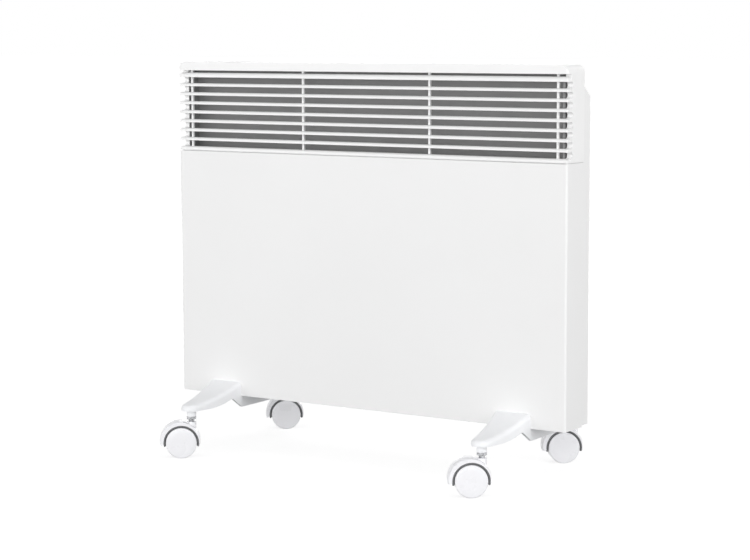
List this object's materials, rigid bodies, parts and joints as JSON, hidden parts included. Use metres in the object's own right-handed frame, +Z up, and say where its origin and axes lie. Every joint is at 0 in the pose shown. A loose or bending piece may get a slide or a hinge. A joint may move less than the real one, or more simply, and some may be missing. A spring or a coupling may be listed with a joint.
{
  "type": "panel convector heater",
  "caption": "White electric panel convector heater with a wrap-around louvred outlet grille, on moulded feet with hooded twin-wheel swivel castors.",
  "frame": {"origin": "on the floor under the middle of the whole outline", "axes": "+X to the right seen from the front, +Y to the rear, +Z up"},
  "size_m": [0.58, 0.285, 0.5115],
  "materials": {
    "white_enamel": "satin powder coat",
    "white_grille": "satin moulded",
    "white_foot": "fine moulded texture",
    "castor_white": "polished moulded",
    "castor_grey": "moulded",
    "grey_sheet": "matt grey coat",
    "element_aluminium": "extruded",
    "bright_steel": "turned, plated",
    "zinc_steel": "zinc plated",
    "silicone": "moulded",
    "black_plastic": "moulded",
    "switch_black": "polished moulded",
    "white_knob": "satin moulded",
    "white_nylon": "moulded",
    "amber_lens": "clear moulded"
  },
  "bodies": {
    "heater": {"front_panel": "white_enamel", "outlet_grille": "white_grille", "rear_casing": "white_enamel", "air_deflector": "grey_sheet", "heating_element": "element_aluminium", "element_rod": "bright_steel", "left_element_bracket": "zinc_steel", "right_element_bracket": "zinc_steel", "left_element_bush": "silicone", "right_element_bush": "silicone", "thermal_cutout": "black_plastic", "thermostat_body": "black_plastic", "switch_frame": "black_plastic", "indicator_lens": "amber_lens", "terminal_block": "white_nylon", "cable_gland": "black_plastic", "air_sensor": "white_nylon", "left_foot": "white_foot", "right_foot": "white_foot", "foot_screws": "zinc_steel", "case_screws": "zinc_steel", "front_left_socket": "white_foot", "front_right_socket": "white_foot", "rear_left_socket": "white_foot", "rear_right_socket": "white_foot"},
    "thermostat_dial": {"thermostat_spindle": "bright_steel", "thermostat_knob": "white_knob"},
    "power_rocker": {"rocker_switch": "switch_black"},
    "front_left_castor": {"front_left_stem": "bright_steel", "front_left_frame": "castor_grey", "front_left_hood": "castor_white", "front_left_axle": "bright_steel"},
    "front_left_roller_a": {"front_left_wheel_a": "castor_white"},
    "front_left_roller_b": {"front_left_wheel_b": "castor_white"},
    "front_right_castor": {"front_right_stem": "bright_steel", "front_right_frame": "castor_grey", "front_right_hood": "castor_white", "front_right_axle": "bright_steel"},
    "front_right_roller_a": {"front_right_wheel_a": "castor_white"},
    "front_right_roller_b": {"front_right_wheel_b": "castor_white"},
    "rear_left_castor": {"rear_left_stem": "bright_steel", "rear_left_frame": "castor_grey", "rear_left_hood": "castor_white", "rear_left_axle": "bright_steel"},
    "rear_left_roller_a": {"rear_left_wheel_a": "castor_white"},
    "rear_left_roller_b": {"rear_left_wheel_b": "castor_white"},
    "rear_right_castor": {"rear_right_stem": "bright_steel", "rear_right_frame": "castor_grey", "rear_right_hood": "castor_white", "rear_right_axle": "bright_steel"},
    "rear_right_roller_a": {"rear_right_wheel_a": "castor_white"},
    "rear_right_roller_b": {"rear_right_wheel_b": "castor_white"}
  },
  "joints": [
    {"name": "thermostat_turn", "type": "hinge", "parent": "heater", "child": "thermostat_dial", "pos_m": [0.246, 0.02009, 0.479], "axis": [0, -0.6209, -0.7839], "range_deg": [0, 270]},
    {"name": "power_rock", "type": "hinge", "parent": "heater", "child": "power_rocker", "pos_m": [0.206, 0.0194, 0.47814], "axis": [0, 0.7839, -0.6209], "range_deg": [0, 20]},
    {"name": "front_left_swivel", "type": "hinge", "parent": "heater", "child": "front_left_castor", "pos_m": [-0.218, -0.10891, 0.0615], "axis": [0, 0, 1], "continuous": true},
    {"name": "front_left_roll_a", "type": "hinge", "parent": "front_left_castor", "child": "front_left_roller_a", "pos_m": [-0.22878, -0.11704, 0.02], "axis": [0.6018, -0.7986, 0], "continuous": true},
    {"name": "front_left_roll_b", "type": "hinge", "parent": "front_left_castor", "child": "front_left_roller_b", "pos_m": [-0.22878, -0.11704, 0.02], "axis": [0.6018, -0.7986, 0], "continuous": true},
    {"name": "front_right_swivel", "type": "hinge", "parent": "heater", "child": "front_right_castor", "pos_m": [0.218, -0.10891, 0.0615], "axis": [0, 0, 1], "continuous": true},
    {"name": "front_right_roll_a", "type": "hinge", "parent": "front_right_castor", "child": "front_right_roller_a", "pos_m": [0.20722, -0.11704, 0.02], "axis": [0.6018, -0.7986, 0], "continuous": true},
    {"name": "front_right_roll_b", "type": "hinge", "parent": "front_right_castor", "child": "front_right_roller_b", "pos_m": [0.20722, -0.11704, 0.02], "axis": [0.6018, -0.7986, 0], "continuous": true},
    {"name": "rear_left_swivel", "type": "hinge", "parent": "heater", "child": "rear_left_castor", "pos_m": [-0.218, 0.12709, 0.0615], "axis": [0, 0, 1], "continuous": true},
    {"name": "rear_left_roll_a", "type": "hinge", "parent": "rear_left_castor", "child": "rear_left_roller_a", "pos_m": [-0.22878, 0.11896, 0.02], "axis": [0.6018, -0.7986, 0], "continuous": true},
    {"name": "rear_left_roll_b", "type": "hinge", "parent": "rear_left_castor", "child": "rear_left_roller_b", "pos_m": [-0.22878, 0.11896, 0.02], "axis": [0.6018, -0.7986, 0], "continuous": true},
    {"name": "rear_right_swivel", "type": "hinge", "parent": "heater", "child": "rear_right_castor", "pos_m": [0.218, 0.12709, 0.0615], "axis": [0, 0, 1], "continuous": true},
    {"name": "rear_right_roll_a", "type": "hinge", "parent": "rear_right_castor", "child": "rear_right_roller_a", "pos_m": [0.20722, 0.11896, 0.02], "axis": [0.6018, -0.7986, 0], "continuous": true},
    {"name": "rear_right_roll_b", "type": "hinge", "parent": "rear_right_castor", "child": "rear_right_roller_b", "pos_m": [0.20722, 0.11896, 0.02], "axis": [0.6018, -0.7986, 0], "continuous": true}
  ]
}
